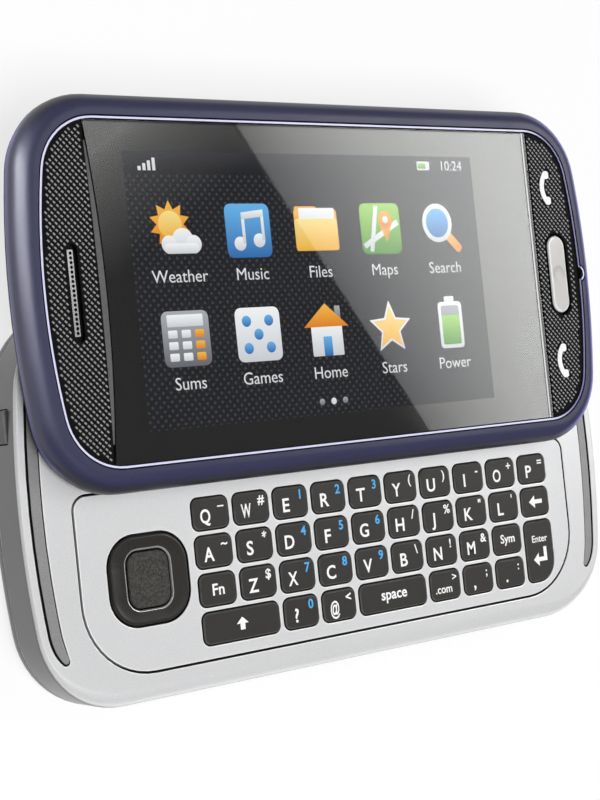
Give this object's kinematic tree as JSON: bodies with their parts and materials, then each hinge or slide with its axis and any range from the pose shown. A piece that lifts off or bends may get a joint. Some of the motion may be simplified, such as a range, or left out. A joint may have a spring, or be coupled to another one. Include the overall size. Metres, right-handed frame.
{
  "type": "slider mobile phone",
  "caption": "Landscape slider phone: a framed touch-screen half slides up on steel rails to uncover a full letter keyboard with a direction pad.",
  "frame": {"origin": "middle of the footprint of the open phone, on the surface it lies on", "axes": "+X along the length towards the call keys, +Y up the screen, +Z out of the screen"},
  "size_m": [0.1104, 0.0848, 0.0146],
  "materials": {
    "silver_shell": "silver metallic paint, satin clear coat",
    "silver_fascia": "silver metallic paint, satin clear coat",
    "battery_wrap": "matt film wrap",
    "camera_black": "gloss black",
    "socket_steel": "bright folded sheet",
    "board_green": "solder resist",
    "mat_rubber": "matt silicone",
    "strip_grey": "satin grey",
    "slide_steel": "brushed, lightly oiled",
    "navy_paint": "navy metallic paint under gloss clear coat",
    "slider_back_dark": "fine moulded texture",
    "trim_chrome": "mirror bright plating",
    "display_black": "dark screen",
    "lens_glass": "polished, printed black behind its border",
    "panel_black": "fine raised dots in a diamond grid",
    "grille_steel": "bright",
    "dpad_dark": "satin",
    "power_grey": "satin",
    "nav_silver": "satin, dished",
    "key_dark": "satin caps, white and blue printed legends"
  },
  "bodies": {
    "base": {"base_housing": "silver_shell", "rear_cover": "silver_shell", "battery": "battery_wrap", "camera_module": "camera_black", "charge_socket": "socket_steel", "main_board": "board_green", "keypad_mat": "mat_rubber", "keypad_fascia": "silver_fascia", "end_strips": "strip_grey", "slide_plate": "slide_steel"},
    "slider": {"slider_frame": "navy_paint", "slider_back": "slider_back_dark", "slide_rails": "slide_steel", "trim_ring": "trim_chrome", "display_module": "display_black", "touch_lens": "lens_glass", "earpiece_panel": "panel_black", "earpiece_grille": "grille_steel"},
    "key_q": {"key_q": "key_dark"},
    "key_w": {"key_w": "key_dark"},
    "key_e": {"key_e": "key_dark"},
    "key_r": {"key_r": "key_dark"},
    "key_t": {"key_t": "key_dark"},
    "key_y": {"key_y": "key_dark"},
    "key_u": {"key_u": "key_dark"},
    "key_i": {"key_i": "key_dark"},
    "key_o": {"key_o": "key_dark"},
    "key_p": {"key_p": "key_dark"},
    "key_a": {"key_a": "key_dark"},
    "key_s": {"key_s": "key_dark"},
    "key_d": {"key_d": "key_dark"},
    "key_f": {"key_f": "key_dark"},
    "key_g": {"key_g": "key_dark"},
    "key_h": {"key_h": "key_dark"},
    "key_j": {"key_j": "key_dark"},
    "key_k": {"key_k": "key_dark"},
    "key_l": {"key_l": "key_dark"},
    "key_backspace": {"key_backspace": "key_dark"},
    "key_function": {"key_function": "key_dark"},
    "key_z": {"key_z": "key_dark"},
    "key_x": {"key_x": "key_dark"},
    "key_c": {"key_c": "key_dark"},
    "key_v": {"key_v": "key_dark"},
    "key_b": {"key_b": "key_dark"},
    "key_n": {"key_n": "key_dark"},
    "key_m": {"key_m": "key_dark"},
    "key_symbol": {"key_symbol": "key_dark"},
    "key_enter": {"key_enter": "key_dark"},
    "key_shift": {"key_shift": "key_dark"},
    "key_question": {"key_question": "key_dark"},
    "key_at": {"key_at": "key_dark"},
    "key_space": {"key_space": "key_dark"},
    "key_dotcom": {"key_dotcom": "key_dark"},
    "key_comma": {"key_comma": "key_dark"},
    "key_period": {"key_period": "key_dark"},
    "dpad_ring": {"dpad_ring": "dpad_dark"},
    "dpad_center": {"dpad_center": "dpad_dark"},
    "power_key": {"power_key": "power_grey"},
    "call_end_rocker": {"call_end_rocker": "panel_black"},
    "nav_key": {"nav_key": "nav_silver"}
  },
  "joints": [
    {"name": "slider_slide", "type": "slide", "parent": "base", "child": "slider", "axis": [0, -1, 0], "range_m": [0, 0.029]},
    {"name": "dpad_center_press", "type": "slide", "parent": "base", "child": "dpad_center", "axis": [0, 0, -1], "range_m": [0, 0.0004], "stiffness_N_per_m": 2500},
    {"name": "power_key_press", "type": "slide", "parent": "base", "child": "power_key", "axis": [1, 0, 0], "range_m": [0, 0.0003], "stiffness_N_per_m": 3000},
    {"name": "nav_key_press", "type": "slide", "parent": "slider", "child": "nav_key", "axis": [0, 0, -1], "range_m": [0, 0.0003], "stiffness_N_per_m": 3000},
    {"name": "dpad_ring_tilt", "type": "hinge", "parent": "base", "child": "dpad_ring", "pos_m": [-0.03615, -0.02533, 0.00795], "axis": [1, 0, 0], "range_deg": [-1.6, 1.6], "stiffness_Nm_per_rad": 0.27},
    {"name": "call_end_rock", "type": "hinge", "parent": "slider", "child": "call_end_rocker", "pos_m": [0.0459, 0.01475, 0.0134], "axis": [1, 0, 0], "range_deg": [-0.7, 0.7], "stiffness_Nm_per_rad": 1.8},
    {"name": "key_q_press", "type": "slide", "parent": "base", "child": "key_q", "axis": [0, 0, -1], "range_m": [0, 0.0004], "stiffness_N_per_m": 2500},
    {"name": "key_w_press", "type": "slide", "parent": "base", "child": "key_w", "axis": [0, 0, -1], "range_m": [0, 0.0004], "stiffness_N_per_m": 2500},
    {"name": "key_e_press", "type": "slide", "parent": "base", "child": "key_e", "axis": [0, 0, -1], "range_m": [0, 0.0004], "stiffness_N_per_m": 2500},
    {"name": "key_r_press", "type": "slide", "parent": "base", "child": "key_r", "axis": [0, 0, -1], "range_m": [0, 0.0004], "stiffness_N_per_m": 2500},
    {"name": "key_t_press", "type": "slide", "parent": "base", "child": "key_t", "axis": [0, 0, -1], "range_m": [0, 0.0004], "stiffness_N_per_m": 2500},
    {"name": "key_y_press", "type": "slide", "parent": "base", "child": "key_y", "axis": [0, 0, -1], "range_m": [0, 0.0004], "stiffness_N_per_m": 2500},
    {"name": "key_u_press", "type": "slide", "parent": "base", "child": "key_u", "axis": [0, 0, -1], "range_m": [0, 0.0004], "stiffness_N_per_m": 2500},
    {"name": "key_i_press", "type": "slide", "parent": "base", "child": "key_i", "axis": [0, 0, -1], "range_m": [0, 0.0004], "stiffness_N_per_m": 2500},
    {"name": "key_o_press", "type": "slide", "parent": "base", "child": "key_o", "axis": [0, 0, -1], "range_m": [0, 0.0004], "stiffness_N_per_m": 2500},
    {"name": "key_p_press", "type": "slide", "parent": "base", "child": "key_p", "axis": [0, 0, -1], "range_m": [0, 0.0004], "stiffness_N_per_m": 2500},
    {"name": "key_a_press", "type": "slide", "parent": "base", "child": "key_a", "axis": [0, 0, -1], "range_m": [0, 0.0004], "stiffness_N_per_m": 2500},
    {"name": "key_s_press", "type": "slide", "parent": "base", "child": "key_s", "axis": [0, 0, -1], "range_m": [0, 0.0004], "stiffness_N_per_m": 2500},
    {"name": "key_d_press", "type": "slide", "parent": "base", "child": "key_d", "axis": [0, 0, -1], "range_m": [0, 0.0004], "stiffness_N_per_m": 2500},
    {"name": "key_f_press", "type": "slide", "parent": "base", "child": "key_f", "axis": [0, 0, -1], "range_m": [0, 0.0004], "stiffness_N_per_m": 2500},
    {"name": "key_g_press", "type": "slide", "parent": "base", "child": "key_g", "axis": [0, 0, -1], "range_m": [0, 0.0004], "stiffness_N_per_m": 2500},
    {"name": "key_h_press", "type": "slide", "parent": "base", "child": "key_h", "axis": [0, 0, -1], "range_m": [0, 0.0004], "stiffness_N_per_m": 2500},
    {"name": "key_j_press", "type": "slide", "parent": "base", "child": "key_j", "axis": [0, 0, -1], "range_m": [0, 0.0004], "stiffness_N_per_m": 2500},
    {"name": "key_k_press", "type": "slide", "parent": "base", "child": "key_k", "axis": [0, 0, -1], "range_m": [0, 0.0004], "stiffness_N_per_m": 2500},
    {"name": "key_l_press", "type": "slide", "parent": "base", "child": "key_l", "axis": [0, 0, -1], "range_m": [0, 0.0004], "stiffness_N_per_m": 2500},
    {"name": "key_backspace_press", "type": "slide", "parent": "base", "child": "key_backspace", "axis": [0, 0, -1], "range_m": [0, 0.0004], "stiffness_N_per_m": 2500},
    {"name": "key_function_press", "type": "slide", "parent": "base", "child": "key_function", "axis": [0, 0, -1], "range_m": [0, 0.0004], "stiffness_N_per_m": 2500},
    {"name": "key_z_press", "type": "slide", "parent": "base", "child": "key_z", "axis": [0, 0, -1], "range_m": [0, 0.0004], "stiffness_N_per_m": 2500},
    {"name": "key_x_press", "type": "slide", "parent": "base", "child": "key_x", "axis": [0, 0, -1], "range_m": [0, 0.0004], "stiffness_N_per_m": 2500},
    {"name": "key_c_press", "type": "slide", "parent": "base", "child": "key_c", "axis": [0, 0, -1], "range_m": [0, 0.0004], "stiffness_N_per_m": 2500},
    {"name": "key_v_press", "type": "slide", "parent": "base", "child": "key_v", "axis": [0, 0, -1], "range_m": [0, 0.0004], "stiffness_N_per_m": 2500},
    {"name": "key_b_press", "type": "slide", "parent": "base", "child": "key_b", "axis": [0, 0, -1], "range_m": [0, 0.0004], "stiffness_N_per_m": 2500},
    {"name": "key_n_press", "type": "slide", "parent": "base", "child": "key_n", "axis": [0, 0, -1], "range_m": [0, 0.0004], "stiffness_N_per_m": 2500},
    {"name": "key_m_press", "type": "slide", "parent": "base", "child": "key_m", "axis": [0, 0, -1], "range_m": [0, 0.0004], "stiffness_N_per_m": 2500},
    {"name": "key_symbol_press", "type": "slide", "parent": "base", "child": "key_symbol", "axis": [0, 0, -1], "range_m": [0, 0.0004], "stiffness_N_per_m": 2500},
    {"name": "key_enter_press", "type": "slide", "parent": "base", "child": "key_enter", "axis": [0, 0, -1], "range_m": [0, 0.0004], "stiffness_N_per_m": 2500},
    {"name": "key_shift_press", "type": "slide", "parent": "base", "child": "key_shift", "axis": [0, 0, -1], "range_m": [0, 0.0004], "stiffness_N_per_m": 2500},
    {"name": "key_question_press", "type": "slide", "parent": "base", "child": "key_question", "axis": [0, 0, -1], "range_m": [0, 0.0004], "stiffness_N_per_m": 2500},
    {"name": "key_at_press", "type": "slide", "parent": "base", "child": "key_at", "axis": [0, 0, -1], "range_m": [0, 0.0004], "stiffness_N_per_m": 2500},
    {"name": "key_space_press", "type": "slide", "parent": "base", "child": "key_space", "axis": [0, 0, -1], "range_m": [0, 0.0004], "stiffness_N_per_m": 2500},
    {"name": "key_dotcom_press", "type": "slide", "parent": "base", "child": "key_dotcom", "axis": [0, 0, -1], "range_m": [0, 0.0004], "stiffness_N_per_m": 2500},
    {"name": "key_comma_press", "type": "slide", "parent": "base", "child": "key_comma", "axis": [0, 0, -1], "range_m": [0, 0.0004], "stiffness_N_per_m": 2500},
    {"name": "key_period_press", "type": "slide", "parent": "base", "child": "key_period", "axis": [0, 0, -1], "range_m": [0, 0.0004], "stiffness_N_per_m": 2500}
  ]
}
